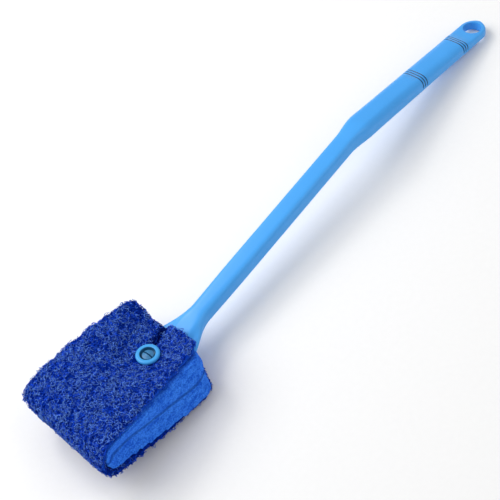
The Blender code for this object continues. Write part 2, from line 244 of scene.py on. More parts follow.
FLOW_SCALE = 55.0
MOTTLE_SCALE = 420.0
PEEL_SCALE = 1500.0
PEEL_RELIEF = 0.02
PLASTIC_SPECULAR = 0.34
ROUGHNESS_SPREAD = 0.12
GROOVE_EDGE = (0.05, 0.5)
CORE_RADIUS = 4.5
CORE_EDGE = 0.35


def moulded(name, colour, roughness, grooved=False, core=0.0):
    """Satin moulded plastic, deeper in grooves and within a core radius of the rivet's axis."""
    material, shader, wire = principled(name)
    place = object_place(wire)
    flow = clouds(wire, place, FLOW_SCALE, detail=2.0)
    mottle = clouds(wire, place, MOTTLE_SCALE, detail=3.0)
    tint = blend(wire, flow, shade(colour, 0.95), shade(colour, 1.05))
    tint = blend(wire, mottle * 0.5, tint, shade(colour, 0.92))
    if grooved:
        in_groove = attribute(wire, "groove").step(*GROOVE_EDGE)
        tint = blend(wire, in_groove * 0.95, tint, shade(colour, 0.10))
    if core:
        in_core = 1.0 - rivet_radius(wire, place).step(core * MM, (core + CORE_EDGE) * MM)
        tint = blend(wire, in_core * 0.9, tint, shade(colour, 0.25))
    peel = clouds(wire, place, PEEL_SCALE, detail=1.0)
    connect(wire, shader, Base_Color=tint, Roughness=roughness + (mottle - 0.5) * ROUGHNESS_SPREAD,
            Normal=bump(wire, peel, PEEL_RELIEF * MM))
    shader.inputs["Specular IOR Level"].default_value = PLASTIC_SPECULAR
    return material


SKY_BLUE = (0.060, 0.375, 0.90, 1.0)
RING_BLUE = (0.050, 0.36, 0.80, 1.0)
# The stud's blue is painted darker than the ring's: painted shade for the inside of the ring's recess.
STUD_BLUE_IN_SHADE = (0.050, 0.215, 0.44, 1.0)
handle_plastic = moulded("handle_plastic", SKY_BLUE, 0.34, grooved=True)
ring_plastic = moulded("ring_plastic", RING_BLUE, 0.30, core=CORE_RADIUS)
stud_plastic = moulded("stud_plastic", STUD_BLUE_IN_SHADE, 0.34)
print("plastics:", handle_plastic.name, ring_plastic.name, stud_plastic.name)

# %% [markdown]
# ## The handle
# The real handle is one injection moulding: a thin paddle inside the pad, a neck that flares into
# two webs beside a rib, a rounded-box shaft that rises, a bend, a fuller and rounder grip with two
# groups of three grooves, and a flat round tab. It could be box-modelled with a subdivision
# surface, but all of it follows one rule, a superellipse whose width, thickness and squareness
# change along X. So a loft through many sections keeps it exact, and smooth at any distance.

# %% Driving sizes of the handle, in millimetres
PADDLE_FRONT = -56.0
PADDLE_HALF_WIDTH = 19.0
PADDLE_CORNER = 11.0
PADDLE_HALF_THICK = 1.5
SHAFT_SLOPE = 0.2066
SHAFT_FOOT = 20.3
NECK_BEND = (14.0, 26.6)
GRIP_BEND_AT = 188.6
GRIP_BEND_HALF = 9.0
GRIP_SLOPE = -0.034
SHAFT_HALF = (6.3, 5.3)
GRIP_HALF = (8.7, 6.4)
GRIP_END_HALF_THICK = 5.3
TAB_HALF = (8.7, 3.15)
HOLE_AT = 314.6
HOLE_RADIUS = 5.95
HOLE_LIP = 0.45
GROOVE_GROUPS = (250.5, 295.0)
GROOVE_STEPS = (-2.1, 0.0, 2.1)
GROOVE_HALF_WIDTH = 0.6
GROOVE_DEPTH = 0.6
GROOVE_ENDS = (-0.25, 0.1)
GROOVE_FADE = (-2.0, 0.5)
NECK_HALF_WIDTH = 15.5
RIB_SHARE = 0.72
RIB_FILLET = 4.5
SECTION_POINTS = 72

# %% Spans along X, in millimetres, in which the handle's section changes
PADDLE_NARROWS = (-4.0, 27.0)
NECK_NARROWS = (17.0, 43.0)
GRIP_WIDENS = (178.0, 197.0)
GRIP_END_EASES = (230.0, 300.0)
RIB_RISES = (8.0, 40.0)
WEB_RISES = (22.0, 42.0)
GRIP_THICKENS = (176.0, 196.0)
GRIP_THINS = (205.0, 290.0)
TAB_FLATTENS = (292.0, 304.0)
NECK_ROUNDS = (8.0, 26.0)
SHAFT_SQUARES = (36.0, 80.0)
BEND_ROUNDS = (190.0, 215.0)
GRIP_ROUNDS = (215.0, 290.0)

# %% How square the section is, as the exponent of its superellipse
SQUARE_PADDLE = 6.0
SQUARE_NECK = 3.0
SQUARE_SHAFT = 4.2
SQUARE_BEND = 3.4
SQUARE_GRIP = 2.7
SQUARE_TAB = 5.0
print("handle from", PADDLE_FRONT, "to", HOLE_AT + TAB_HALF[0], "mm along X")


# %% The rules that the handle follows along X
def centre_height(x):
    """Height of the centre-line: flat paddle, rising shaft, then the bent-back grip."""
    start, end = NECK_BEND
    if x <= start:
        return 0.0
    if x < end:
        return SHAFT_SLOPE * (x - start) ** 2 / (2.0 * (end - start))
    before = GRIP_BEND_AT - GRIP_BEND_HALF
    bend = min(max(x - before, 0.0), 2.0 * GRIP_BEND_HALF)
    past = max(x - before - 2.0 * GRIP_BEND_HALF, 0.0)
    change = GRIP_SLOPE - SHAFT_SLOPE
    return SHAFT_SLOPE * (x - SHAFT_FOOT) + change * bend ** 2 / (4.0 * GRIP_BEND_HALF) + change * past


def half_width(x):
    """Half the width in plan, from the paddle's rounded corners to the round tab."""
    corner = PADDLE_FRONT + PADDLE_CORNER
    if x < corner:
        rounded = math.sqrt(max(PADDLE_CORNER ** 2 - (corner - x) ** 2, 0.0))
        return PADDLE_HALF_WIDTH - PADDLE_CORNER + rounded
    if x > HOLE_AT:
        return math.sqrt(max(TAB_HALF[0] ** 2 - (x - HOLE_AT) ** 2, 0.0))
    width = mix(PADDLE_HALF_WIDTH, NECK_HALF_WIDTH, ramp(x, *PADDLE_NARROWS))
    width = mix(width, SHAFT_HALF[0], ramp(x, *NECK_NARROWS))
    width = mix(width, GRIP_HALF[0], ramp(x, *GRIP_WIDENS))
    return mix(width, TAB_HALF[0], ramp(x, *GRIP_END_EASES))


def half_thick(x):
    """Half the thickness at the middle of the section."""
    thick = mix(PADDLE_HALF_THICK, SHAFT_HALF[1], ramp(x, *RIB_RISES))
    thick = mix(thick, GRIP_HALF[1], ramp(x, *GRIP_THICKENS))
    thick = mix(thick, GRIP_END_HALF_THICK, ramp(x, *GRIP_THINS))
    return mix(thick, TAB_HALF[1], ramp(x, *TAB_FLATTENS))


def squareness(x):
    """Exponent of the section: high is a rounded box, 2 an ellipse."""
    power = mix(SQUARE_SHAFT, SQUARE_BEND, ramp(x, *BEND_ROUNDS))
    power = mix(power, SQUARE_GRIP, ramp(x, *GRIP_ROUNDS))
    power = mix(power, SQUARE_TAB, ramp(x, *TAB_FLATTENS))
    power = mix(SQUARE_NECK, power, ramp(x, *SHAFT_SQUARES))
    return mix(SQUARE_PADDLE, power, ramp(x, *NECK_ROUNDS))


def groove_depth(x):
    """How far a grip groove draws the section in: a round-bottomed furrow."""
    for middle in GROOVE_GROUPS:
        for step in GROOVE_STEPS:
            away = abs(x - middle - step) / GROOVE_HALF_WIDTH
            if away < 1.0:
                return GROOVE_DEPTH * 0.5 * (1.0 + math.cos(math.pi * away))
    return 0.0


# %% [markdown]
# The stations, the places of the sections, crowd where the shape changes: at the paddle's and the
# tab's round ends, through the neck, at the bend and across each groove. Elsewhere a section every
# few millimetres is plenty, because the shading is smooth.


# %% Loft the handle
def handle_stations():
    """Every X, in millimetres, at which the handle has a section."""
    across_groove = (-1.0, -0.6, -0.3, 0.0, 0.3, 0.6, 1.0)
    places = [PADDLE_FRONT + PADDLE_CORNER * (1.0 - math.cos(math.radians(a))) for a in range(4, 91, 7)]
    places += [float(x) for x in range(-42, 0, 6)]
    places += [0.5 * x for x in range(0, 100, 3)]
    places += [float(x) for x in range(54, 170, 6)]
    places += [170.0 + 1.5 * i for i in range(24)]
    places += [float(x) for x in range(208, 246, 5)] + [float(x) for x in range(256, 291, 5)]
    for middle in GROOVE_GROUPS:
        for step in GROOVE_STEPS:
            places += [middle + step + GROOVE_HALF_WIDTH * share for share in across_groove]
    places += [299.0, 300.5, 302.0, 303.5, 305.0, 308.0, 311.0, HOLE_AT]
    places += [HOLE_AT + TAB_HALF[0] * math.sin(math.radians(a)) for a in range(6, 88, 6)]
    return sorted(places)


def handle_section(x):
    """One ring of the handle. Beside the neck's rib the web stays thin for longer."""
    wide, thick = half_width(x), half_thick(x)
    web = min(mix(PADDLE_HALF_THICK, SHAFT_HALF[1], ramp(x, *WEB_RISES)), thick)
    power, groove = squareness(x), groove_depth(x)
    rib_edge = SHAFT_HALF[0] * RIB_SHARE
    ring = []
    for i in range(SECTION_POINTS):
        angle = 2.0 * math.pi * (i + 0.5) / SECTION_POINTS
        across, up = math.cos(angle), math.sin(angle)
        drawn_in = groove * ramp(up, *GROOVE_ENDS)
        y = math.copysign(abs(across) ** (2.0 / power), across) * (wide - drawn_in)
        rib = 1.0 - ramp(abs(y), rib_edge, rib_edge + RIB_FILLET)
        z = math.copysign(abs(up) ** (2.0 / power), up) * (mix(web, thick, rib) - drawn_in)
        ring.append((x, y, z + centre_height(x)))
    return ring


def lofted(rings, name):
    """A closed skin through rings with equal point counts."""
    bm = bmesh.new()
    rows = [[bm.verts.new(point) for point in ring] for ring in rings]
    for near, far in zip(rows, rows[1:]):
        for i in range(len(near)):
            j = (i + 1) % len(near)
            bm.faces.new((near[i], near[j], far[j], far[i]))
    bm.faces.new(rows[0])
    bm.faces.new(rows[-1])
    return settle(bm, name)


handle = lofted([handle_section(x) for x in handle_stations()], "handle_moulding")
print("handle loft:", len(handle.data.vertices), "vertices")

# %% [markdown]
# ## Turned shapes and holes
# The hang hole has a rounded lip at both mouths, and the rivet's ring and stud are bodies of
# revolution. All three are a profile spun about the vertical. Bevelling a Boolean's edge
# afterwards is fragile on a lofted surface, so the cutter itself carries the lip.


# %% Spin a profile, and cut with it
def spun(profile, name, closed, steps=64, at=(0.0, 0.0)):
    """A body of revolution about the design frame's Z through a point."""
    bm = bmesh.new()
    points = [bm.verts.new((radius, 0.0, height)) for radius, height in profile]
    pairs = list(zip(points, points[1:])) + ([(points[-1], points[0])] if closed else [])
    edges = [bm.edges.new(pair) for pair in pairs]
    bmesh.ops.spin(bm, geom=points + edges, cent=(0.0, 0.0, 0.0), axis=(0.0, 0.0, 1.0),
                   angle=2.0 * math.pi, steps=steps, use_duplicate=False)
    bmesh.ops.remove_doubles(bm, verts=bm.verts, dist=0.001)
    bmesh.ops.translate(bm, verts=bm.verts, vec=(at[0], at[1], 0.0))
    return settle(bm, name)


def arc(centre, radius, start, end, steps=5):
    """Points of an arc in a profile, from one angle to another in degrees."""
    angles = [math.radians(mix(start, end, i / steps)) for i in range(steps + 1)]
    return [(centre[0] + radius * math.cos(a), centre[1] + radius * math.sin(a)) for a in angles]


def cut(piece, *cutters):
    """Exact Boolean differences, applied at once; the cutters are removed."""
    for cutter in cutters:
        boolean = piece.modifiers.new(cutter.name, 'BOOLEAN')
        boolean.operation = 'DIFFERENCE'
        boolean.solver = 'EXACT'
        boolean.object = cutter
    baked(piece)
    for cutter in cutters:
        bpy.data.objects.remove(cutter, do_unlink=True)


# %% Cut the hang hole and the rivet's hole
PADDLE_HOLE_RADIUS = 3.8
RIVET_CUT_HALF = 8.0
OVERSHOOT = 4.0
tab_top = centre_height(HOLE_AT) + TAB_HALF[1]
tab_bottom = centre_height(HOLE_AT) - TAB_HALF[1]
lip_radius = HOLE_RADIUS + HOLE_LIP
hang_profile = [(0.0, tab_top + OVERSHOOT), (lip_radius + OVERSHOOT, tab_top + OVERSHOOT)]
hang_profile += arc((lip_radius, tab_top - HOLE_LIP), HOLE_LIP, 90.0, 180.0)
hang_profile += arc((lip_radius, tab_bottom + HOLE_LIP), HOLE_LIP, 180.0, 270.0)
hang_profile += [(lip_radius + OVERSHOOT, tab_bottom - OVERSHOOT), (0.0, tab_bottom - OVERSHOOT)]
rivet_hole_profile = [(0.0, RIVET_CUT_HALF), (PADDLE_HOLE_RADIUS, RIVET_CUT_HALF),
                      (PADDLE_HOLE_RADIUS, -RIVET_CUT_HALF), (0.0, -RIVET_CUT_HALF)]
hang_cutter = spun(hang_profile, "hang_cutter", closed=False, at=(HOLE_AT, 0.0))
rivet_cutter = spun(rivet_hole_profile, "rivet_cutter", closed=False)
cut(handle, hang_cutter, rivet_cutter)


# %% Mark the grooves and finish the handle
def mark_grooves(piece):
    """Stores on each point how deep in a grip groove it lies; the plain underside has none."""
    to_design = (LIE @ Matrix.Scale(MM, 4)).inverted()
    groove = piece.data.attributes.new("groove", 'FLOAT', 'POINT')
    for vert in piece.data.vertices:
        at = to_design @ vert.co
        share = groove_depth(at.x) / GROOVE_DEPTH
        groove.data[vert.index].value = share * ramp(at.z - centre_height(at.x), *GROOVE_FADE)


mark_grooves(handle)
handle.data.materials.append(handle_plastic)
smooth(handle, 40.0)
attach(handle, "scraper")
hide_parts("handle")
print("handle:", triangles(handle), "triangles")

# %% [markdown]
# ## The snap rivet
# A stud comes up through pad and paddle, and a ring cap snaps over its split, barbed tip. The
# ring's flange is the one bright, crisp thing on the pad, so its crown gets true arcs: a tight
# one at the recess and a wider one outside. Both bodies are turned from a profile, as on a lathe,
# and the stud's slit is cut last, across its tip. It leaves the two prongs that spring together
# when the cap is pulled.

# %% Driving sizes of the rivet, in millimetres
PINCH_HALF = 9.1
RIVET_GAP = 0.3
FLANGE_RADIUS = 7.1
FLANGE_UNDER = PINCH_HALF + RIVET_GAP
FLANGE_TOP = FLANGE_UNDER + 1.7
RECESS_RADIUS = 4.5
RECESS_FLOOR = 8.6
THROAT_RADIUS = 2.9
THROAT_UNDER = 7.6
SLEEVE = (4.6, 3.75, 3.2)
POST_RADIUS = 3.4
SHANK_RADIUS = 2.6
BARB_RADIUS = 3.4
BARB_TOP = 10.7
BARB_LIP = 0.8
BARB_FILLET = 0.3
TIP_RADIUS = 1.2
TIP_FILLET = 0.5
SLIT_WIDTH = 0.9
SLIT_BOTTOM = 5.0
SLIT_REACH = 5.0
SLIT_OVERSHOOT = 2.0
SLEEVE_FILLET = 0.3
THROAT_FILLET = 0.2
FLOOR_FILLET = 0.35
RECESS_CROWN = 0.5
RING_CROWN = 1.1
STUD_CROWN = 1.0
FLANGE_DRAFT = 0.1


# %% Turn the ring cap
def ring_profile():
    """The cap's section: sleeve, throat, recess and a rounded flange, listed from outside in."""
    sleeve_outer, sleeve_inner, sleeve_end = SLEEVE
    profile = [(sleeve_outer, FLANGE_UNDER)]
    profile += arc((sleeve_outer - SLEEVE_FILLET, sleeve_end + SLEEVE_FILLET), SLEEVE_FILLET,
                   0.0, -90.0, steps=3)
    profile += [(sleeve_inner, sleeve_end), (sleeve_inner, THROAT_UNDER), (THROAT_RADIUS, THROAT_UNDER)]
    profile += arc((THROAT_RADIUS + THROAT_FILLET, RECESS_FLOOR - THROAT_FILLET), THROAT_FILLET,
                   180.0, 90.0, steps=3)
    profile += arc((RECESS_RADIUS - FLOOR_FILLET, RECESS_FLOOR + FLOOR_FILLET), FLOOR_FILLET,
                   -90.0, 0.0, steps=4)
    profile += arc((RECESS_RADIUS + RECESS_CROWN, FLANGE_TOP - RECESS_CROWN), RECESS_CROWN,
                   180.0, 90.0, steps=6)
    profile += arc((FLANGE_RADIUS - RING_CROWN, FLANGE_TOP - RING_CROWN), RING_CROWN,
                   90.0, 0.0, steps=8)
    return profile + [(FLANGE_RADIUS - FLANGE_DRAFT, FLANGE_UNDER)]


ring = spun(ring_profile(), "rivet_ring", closed=True)
ring.data.materials.append(ring_plastic)
smooth(ring, 50.0)
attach(ring, "cap")
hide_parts("rivet_cap")
print("ring cap:", triangles(ring), "triangles")


# %% Turn the stud and split its tip
def stud_profile():
    """The stud's section: tip, barb, shank, post and the lower flange, from the top down."""
    neck = THROAT_UNDER - RIVET_GAP
    barb_foot = RECESS_FLOOR + RIVET_GAP
    profile = [(0.0, BARB_TOP)]
    profile += arc((TIP_RADIUS, BARB_TOP - TIP_FILLET), TIP_FILLET, 90.0, 40.0, steps=3)
    profile += arc((BARB_RADIUS - BARB_FILLET, barb_foot + BARB_LIP), BARB_FILLET, 40.0, 0.0, steps=3)
    profile += [(BARB_RADIUS, barb_foot), (SHANK_RADIUS, barb_foot)]
    profile += [(SHANK_RADIUS, neck), (POST_RADIUS, neck)]
    profile += [(POST_RADIUS, -FLANGE_UNDER), (FLANGE_RADIUS - FLANGE_DRAFT, -FLANGE_UNDER)]
    profile += arc((FLANGE_RADIUS - STUD_CROWN, STUD_CROWN - FLANGE_TOP), STUD_CROWN, 0.0, -90.0, steps=7)
    return profile + [(0.0, -FLANGE_TOP)]


def block(low, high, name):
    """A plain box between two corners, used as a cutter."""
    bm = bmesh.new()
    bmesh.ops.create_cube(bm, size=1.0)
    size = Vector(high) - Vector(low)
    bmesh.ops.scale(bm, vec=size, verts=bm.verts)
    bmesh.ops.translate(bm, vec=0.5 * (Vector(low) + Vector(high)), verts=bm.verts)
    return settle(bm, name)


stud = spun(stud_profile(), "rivet_stud_split", closed=False)
slit_low = (-0.5 * SLIT_WIDTH, -SLIT_REACH, SLIT_BOTTOM)
slit_high = (0.5 * SLIT_WIDTH, SLIT_REACH, BARB_TOP + SLIT_OVERSHOOT)
cut(stud, block(slit_low, slit_high, "slit_cutter"))
stud.data.materials.append(stud_plastic)
smooth(stud, 35.0)
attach(stud, "stud")
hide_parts("rivet_stud")
print("stud:", triangles(stud), "triangles")

# %% [markdown]
# ## Soft bodies for the pad
# The pad is two soft sheets folded round the paddle's front edge: open-cell foam inside, coarse
# scouring fleece outside. Cut sheets have hard edges on paper and soft ones in the hand. So each
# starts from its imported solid, is remeshed into even voxels, and is blown up a little by a cloth
# simulation with inner pressure, which rounds the cut edges and crowns the faces. The move is
# capped, because a real pad swells by about a millimetre and no more. A little noise then takes
# the last evenness away, and a formula sinks the crease that the rivet draws in the pad.

# %% Driving sizes of the pad, in millimetres
FLEECE_VOXEL = 1.5
FLEECE_SHRINK = 0.35
FLEECE_SWELL = 0.5
FOAM_VOXEL = 1.15
FOAM_SHRINK = 0.35
FOAM_SWELL = 0.9
MERGE_WITHIN = 0.01

# %% Strength of the air, and lumps as a height and a feature size in millimetres
FLEECE_PRESSURE = 0.7
FOAM_PRESSURE = 1.6
CLOTH_MASS = 0.0004
CLOTH_FRAMES = 20
FLEECE_LUMPS = (0.35, 3.0)
FOAM_LUMPS = (0.25, 6.0)


# %% Voxels, a puff of air and a cap on the move
def voxel_copy(node, name, voxel, shrink):
    """An evenly meshed copy of a packed soft solid, drawn in a little along its normals."""
    bm = bmesh.new()
    bm.from_mesh(frame["nodes"][node].data)
    bmesh.ops.remove_doubles(bm, verts=bm.verts, dist=MERGE_WITHIN * MM)
    bm.normal_update()
    moves = [vert.normal * (-shrink * MM) for vert in bm.verts]
    for vert, move in zip(bm.verts, moves):
        vert.co += move
    mesh = bpy.data.meshes.new(name)
    bm.to_mesh(mesh)
    bm.free()
    piece = linked(mesh, name)
    remesh = piece.modifiers.new("Voxels", 'REMESH')
    remesh.mode = 'VOXEL'
    remesh.voxel_size = voxel * MM
    return baked(piece)


def plump(piece, pressure, swell):
    """Cloth with inner pressure and no gravity; no point may move further than the swell."""
    rest = [vert.co.copy() for vert in piece.data.vertices]
    cloth = piece.modifiers.new("Plump", 'CLOTH')
    cloth.settings.use_pressure = True
    cloth.settings.uniform_pressure_force = pressure
    cloth.settings.mass = CLOTH_MASS
    cloth.settings.effector_weights.gravity = 0.0
    cloth.point_cache.frame_start = 1
    cloth.point_cache.frame_end = CLOTH_FRAMES
    for step in range(1, CLOTH_FRAMES + 1):
        bpy.context.scene.frame_set(step)
    baked(piece)
    bpy.context.scene.frame_set(1)
    moved = 0.0
    for vert, start in zip(piece.data.vertices, rest):
        move = vert.co - start
        moved += move.length / MM
        if move.length > swell * MM:
            vert.co = start + move.normalized() * swell * MM
    print(piece.name, "mean cloth move", round(moved / len(rest), 2), "mm, capped at", swell)


def subdivided(piece):
    """One level of subdivision, applied."""
    finer = piece.modifiers.new("Finer", 'SUBSURF')
    finer.levels = 1
    finer.render_levels = 1
    return baked(piece)


def lumpy(piece, height, size):
    """Moves points along their normals by a fixed noise of the given height and feature size."""
    moves = []
    for vert in piece.data.vertices:
        moves.append(vert.normal * noise.noise(vert.co / (size * MM)) * height * MM)
    for vert, move in zip(piece.data.vertices, moves):
        vert.co += move


# %% A crease that the rivet's pull draws in the upper leaf, in millimetres
CREASE = ((5.0, 2.1), (24.0, 10.0))
CREASE_WIDTH = 1.7
CREASE_DEPTH = 2.4
VALLEY_WIDTH = 8.0
VALLEY_DEPTH = 0.9
TUCK_DEPTH = 2.4
TUCK_AT = -12.0
TUCK_HALF = 8.0
TUCK_BEGINS = (6.0, 20.0)
CREASE_BEGINS = (6.0, 9.0)
UPPER_LEAF = 2.5


def crease_distance(at):
    """Distance in plan from the crease's line, in millimetres."""
    start, end = Vector(CREASE[0]), Vector(CREASE[1])
    run = end - start
    share = (at.xy - start).dot(run) / run.length_squared
    return (at.xy - start - min(1.0, max(0.0, share)) * run).length


def creased(piece):
    """Sinks a crease and a wide valley from rivet to notch, and tucks in the edge beside it."""
    to_design = (LIE @ Matrix.Scale(MM, 4)).inverted()
    backward = -(LIE.to_3x3() @ Vector((1.0, 0.0, 0.0)))
    for vert in piece.data.vertices:
        at = to_design @ vert.co
        if at.z > UPPER_LEAF:
            away = crease_distance(at)
            drop = CREASE_DEPTH * math.exp(-(away / CREASE_WIDTH) ** 2)
            drop += VALLEY_DEPTH * math.exp(-(away / VALLEY_WIDTH) ** 2)
            beside = math.exp(-((at.y - TUCK_AT) / TUCK_HALF) ** 2)
            tuck = TUCK_DEPTH * ramp(at.x, *TUCK_BEGINS) * beside
            vert.co -= RIVET_AXIS * (drop * ramp(at.xy.length, *CREASE_BEGINS) * MM)
            vert.co += backward * (tuck * MM)


# %% Foam and fleece bodies
foam = voxel_copy("pad_foam", "foam_core", FOAM_VOXEL, FOAM_SHRINK)
fleece = voxel_copy("pad_fleece", "fleece_sheet", FLEECE_VOXEL, FLEECE_SHRINK)
plump(foam, FOAM_PRESSURE, FOAM_SWELL)
plump(fleece, FLEECE_PRESSURE, FLEECE_SWELL)
subdivided(foam)
subdivided(fleece)
lumpy(foam, *FOAM_LUMPS)
lumpy(fleece, *FLEECE_LUMPS)
creased(foam)
creased(fleece)
print("foam:", triangles(foam), "triangles; fleece:", triangles(fleece), "triangles")

# %% [markdown]
# ## Foam
# Fine open-cell foam scatters light so well that it looks almost like a painted surface, with
# tiny pores painted dark as the shade inside them, a mottled tint, and a line of painted shade where
# its two leaves meet beside the paddle, for the shade in the slit between them. The pores are cells
# of a Voronoi pattern, and the shade line follows the height above the fold's middle, measured
# along the rivet's axis.


# %% Make the foam
FOAM_BRIGHT = (0.050, 0.260, 1.0, 1.0)
FOAM_DEEP = (0.008, 0.090, 0.64, 1.0)
SPECKLE_SCALE = 1100.0
PORE_SCALE = 1500.0
GRAIN_SCALE = 2600.0
PORE_RELIEF = 0.12
SLIT_SHADE_EDGE = (0.2, 1.3)


def foam_material(name, bright, deep):
    """Matt open-cell foam with pores and a mottled tint; painted shade darkens the pores and a line where
    its leaves meet.
    """
    material, shader, wire = principled(name)
    place = object_place(wire)
    stretched = wire.node("ShaderNodeMapping", None, {"Vector": place, "Scale": (0.4, 1.0, 1.0)})
    mottle = clouds(wire, stretched, MOTTLE_SCALE, detail=3.0).step(0.36, 0.64)
    speckle = clouds(wire, place, SPECKLE_SCALE, detail=2.0).step(0.40, 0.60)
    cells = wire.node("ShaderNodeTexVoronoi", {"feature": 'F1'}, {"Vector": place, "Scale": PORE_SCALE},
                      output="Distance")
    pores = 1.0 - cells.step(0.12, 0.4)
    grain = clouds(wire, place, GRAIN_SCALE, detail=2.0)
    height = wire.node("ShaderNodeVectorMath", {"operation": 'DOT_PRODUCT'},
                       {0: place, 1: tuple(RIVET_AXIS)}, output="Value") - RIVET_AT.dot(RIVET_AXIS)
    # Painted shade: a dark line along the slit between the foam's two leaves.
    slit_shade = 1.0 - wire.maths('ABSOLUTE', height).step(SLIT_SHADE_EDGE[0] * MM, SLIT_SHADE_EDGE[1] * MM)
    tint = blend(wire, mottle * 0.45 + speckle * 0.55, deep, bright)
    # Painted shade in the pores.
    tint = blend(wire, pores * 0.5, tint, shade(deep, 0.35))
    tint = blend(wire, slit_shade * 0.55, tint, shade(deep, 0.3))
    connect(wire, shader, Base_Color=tint, Normal=bump(wire, grain - pores * 0.6, PORE_RELIEF * MM))
    shader.inputs["Roughness"].default_value = 0.95
    shader.inputs["Specular IOR Level"].default_value = 0.05
    return material


foam.data.materials.append(foam_material("blue_foam", FOAM_BRIGHT, FOAM_DEEP))
smooth(foam, 180.0)
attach(foam, "scraper")
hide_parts("pad_foam")

# %% [markdown]
# ## The fleece's ground
# Between its fibres a scouring fleece is nearly black-blue, because light that goes in there
# hardly comes out. So the sheet itself is dark, a painted shade, and the fibres on it carry the
# colour. Two places have few fibres and show the ground: the cut rim on the right, where less
# shade is painted and it is paler, and the crease, where the painted shade is darker still.


# %% Make the ground
GROUND_DARK = (0.0005, 0.010, 0.15, 1.0)
GROUND_DEEP = (0.002, 0.034, 0.42, 1.0)
GROUND_RIM = (0.010, 0.085, 0.62, 1.0)
TANGLE_SCALE = 900.0
TANGLE_RELIEF = 0.3


def ground_material(name, dark, deep, rim):
    """Matt dark blue, painted shade between fibres; the rim attribute is 1 on the paler cut edge and -1
    where painted shade darkens the crease.
    """
    material, shader, wire = principled(name)
    place = object_place(wire)
    tangle = clouds(wire, place, TANGLE_SCALE, detail=3.0).step(0.38, 0.62)
    edge = attribute(wire, "rim")
    # Less painted shade on the right cut rim; more painted shade darkens the crease.
    tint = blend(wire, edge * (0.55 + tangle * 0.45), blend(wire, tangle, dark, deep), rim)
    tint = blend(wire, edge * -0.75, tint, shade(dark, 0.4))
    connect(wire, shader, Base_Color=tint, Normal=bump(wire, tangle, TANGLE_RELIEF * MM))
    shader.inputs["Roughness"].default_value = 1.0
    shader.inputs["Specular IOR Level"].default_value = 0.02
    return material


fleece.data.materials.append(ground_material("fleece_ground", GROUND_DARK, GROUND_DEEP, GROUND_RIM))
smooth(fleece, 180.0)
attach(fleece, "scraper")
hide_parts("pad_fleece")

# %% [markdown]
# ## Where fibres grow
# Fibres cover the outer face and the round fold. The inner face lies on the foam, and the ring
# and the stud's flange press on the pad, so nothing grows there. The cut side rims are nearly bare,
# and the crease is thin. One number on each point of the sheet, "growth", says how much grows at
# it. A second, "rim", tells the ground where its painted shade is paler, by plus one, and where
# the crease's painted shade is darker, by minus one.

# %% Weigh the sheet's points
FOAM_CLEARANCE = (1.2, 2.4)
FLANGE_CLEARANCE = (7.9, 8.7)
RIM_TURN = (0.30, 0.65)
RIM_BARE = 0.95
RIGHT_RIM = -14.0
CREASE_BARE = 0.65
CREASE_BARE_WIDTH = 2.6
CREASE_SHADE_WIDTH = 3.6


def weigh_growth(sheet, core):
    """Stores growth and rim numbers on each point, and returns the area that grows fibres."""
    tree = BVHTree.FromObject(core, bpy.context.evaluated_depsgraph_get())
    to_design = LIE.inverted()
    turned_back = to_design.to_3x3()
    growth = sheet.data.attributes.new("growth", 'FLOAT', 'POINT')
    rim = sheet.data.attributes.new("rim", 'FLOAT', 'POINT')
    for vert in sheet.data.vertices:
        from_foam = tree.find_nearest(vert.co)[3] / MM
        at = to_design @ vert.co
        from_rivet = math.hypot(at.x, at.y) / MM
        sideways = ramp(abs((turned_back @ vert.normal).y), *RIM_TURN)
        share = ramp(from_foam, *FOAM_CLEARANCE) * ramp(from_rivet, *FLANGE_CLEARANCE)
        share *= 1.0 - RIM_BARE * sideways
        crease = 0.0
        if at.z > UPPER_LEAF * MM:
            away = crease_distance(at / MM)
            share *= 1.0 - CREASE_BARE * math.exp(-(away / CREASE_BARE_WIDTH) ** 2)
            crease = math.exp(-(away / CREASE_SHADE_WIDTH) ** 2)
        on_right = at.z > 0.0 and at.y < RIGHT_RIM * MM
        growth.data[vert.index].value = share
        # Plus where the right rim's painted shade is paler, minus where the crease's painted shade is
        # darker.
        rim.data[vert.index].value = sideways if on_right else -crease
    area = 0.0
    for face in sheet.data.polygons:
        area += face.area * sum(growth.data[v].value for v in face.vertices) / len(face.vertices)
    return area


fibre_area = weigh_growth(fleece, foam)
print("fibres grow on", round(fibre_area * 1e6), "square mm")

# %% [markdown]
# ## Growing the fibres
# A non-woven fleece is thousands of stiff, curly nylon fibres bonded where they cross. Modelling
# them by hand is hopeless, and a bump map has no silhouette. So a Geometry Nodes tree scatters
# one short curl over the sheet, with random turns and stretches, and then bends everything by a
# small noise so that no two fibres match. Each curl has only a few dozen faces.


# %% Build the fibre tree
FIBRE_INPUTS = (("Density", 'NodeSocketFloat', 100000.0), ("Curl radius", 'NodeSocketFloat', 0.0012),
                ("Thickness", 'NodeSocketFloat', 0.00012), ("Lift", 'NodeSocketFloat', 0.0002),
                ("Lean", 'NodeSocketFloat', 0.4), ("Wobble", 'NodeSocketFloat', 0.0012),
                ("Clump size", 'NodeSocketFloat', 0.003), ("Seed", 'NodeSocketInt', 1),
                ("Fibre material", 'NodeSocketMaterial', None))


def new_tree(name, inputs):
    """An empty Geometry Nodes tree with named inputs."""
    tree = bpy.data.node_groups.new(name, 'GeometryNodeTree')
    tree.is_modifier = True
    tree.interface.new_socket("Geometry", in_out='INPUT', socket_type='NodeSocketGeometry')
    for label, kind, default in inputs:
        socket = tree.interface.new_socket(label, in_out='INPUT', socket_type=kind)
        if default is not None:
            socket.default_value = default
    tree.interface.new_socket("Geometry", in_out='OUTPUT', socket_type='NodeSocketGeometry')
    return tree


def chance(wire, low, high, seed):
    """A random number for each fibre."""
    inputs = {2: low, 3: high, "Seed": seed}
    return wire.node("FunctionNodeRandomValue", {"data_type": 'FLOAT'}, inputs, output=1)


